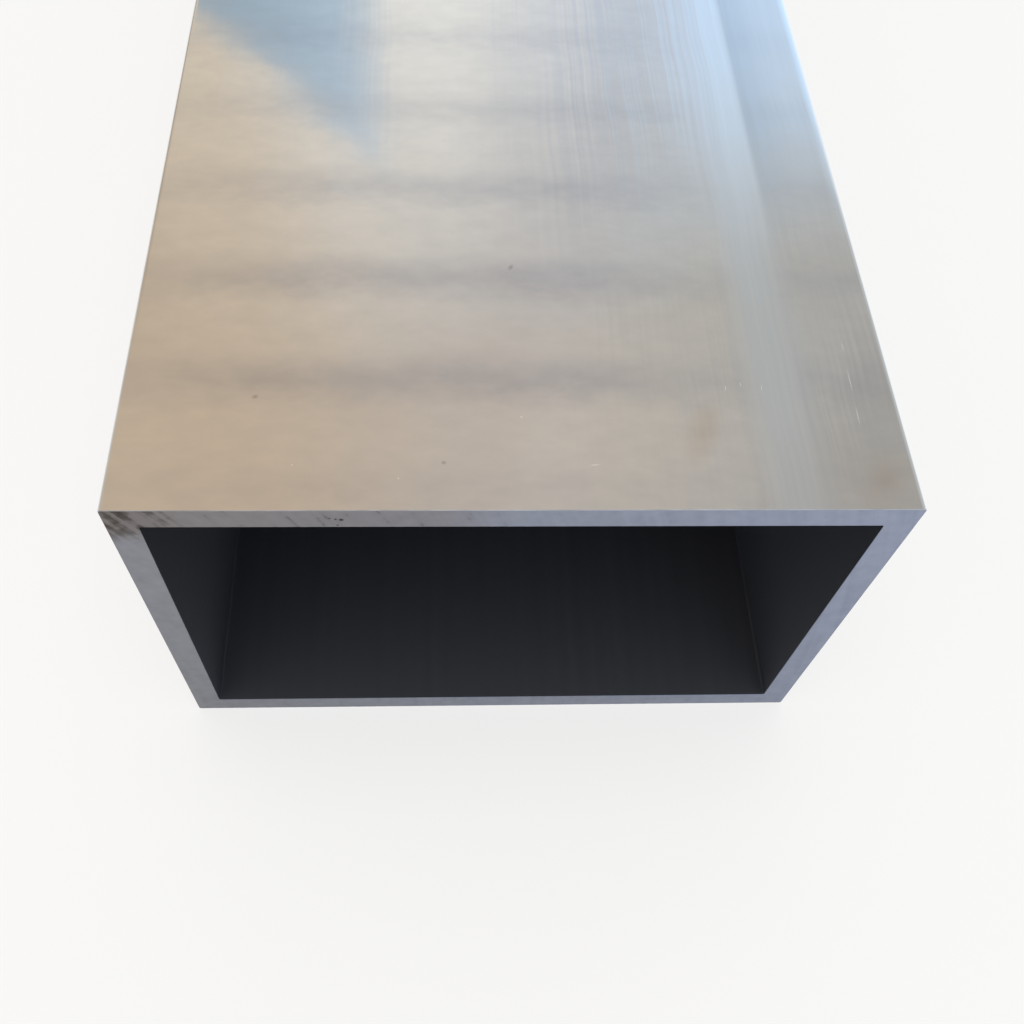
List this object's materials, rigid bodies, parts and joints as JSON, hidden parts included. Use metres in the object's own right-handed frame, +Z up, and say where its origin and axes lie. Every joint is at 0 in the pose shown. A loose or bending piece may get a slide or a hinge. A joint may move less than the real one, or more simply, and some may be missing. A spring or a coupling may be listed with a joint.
{
  "type": "rectangular aluminium tube",
  "caption": "Extruded aluminium rectangular hollow section, sawn to length, used for frames, posts, beams and boxed supports.",
  "frame": {"origin": "middle of the wide face that the tube lies on", "axes": "+X across the width, +Y along the length, +Z up"},
  "size_m": [0.15, 1, 0.1],
  "materials": {
    "mill_finish_aluminium": "bare extruded mill finish, satin, with fine die lines along the length"
  },
  "bodies": {
    "root": {"tube": "mill_finish_aluminium"}
  },
  "joints": []
}
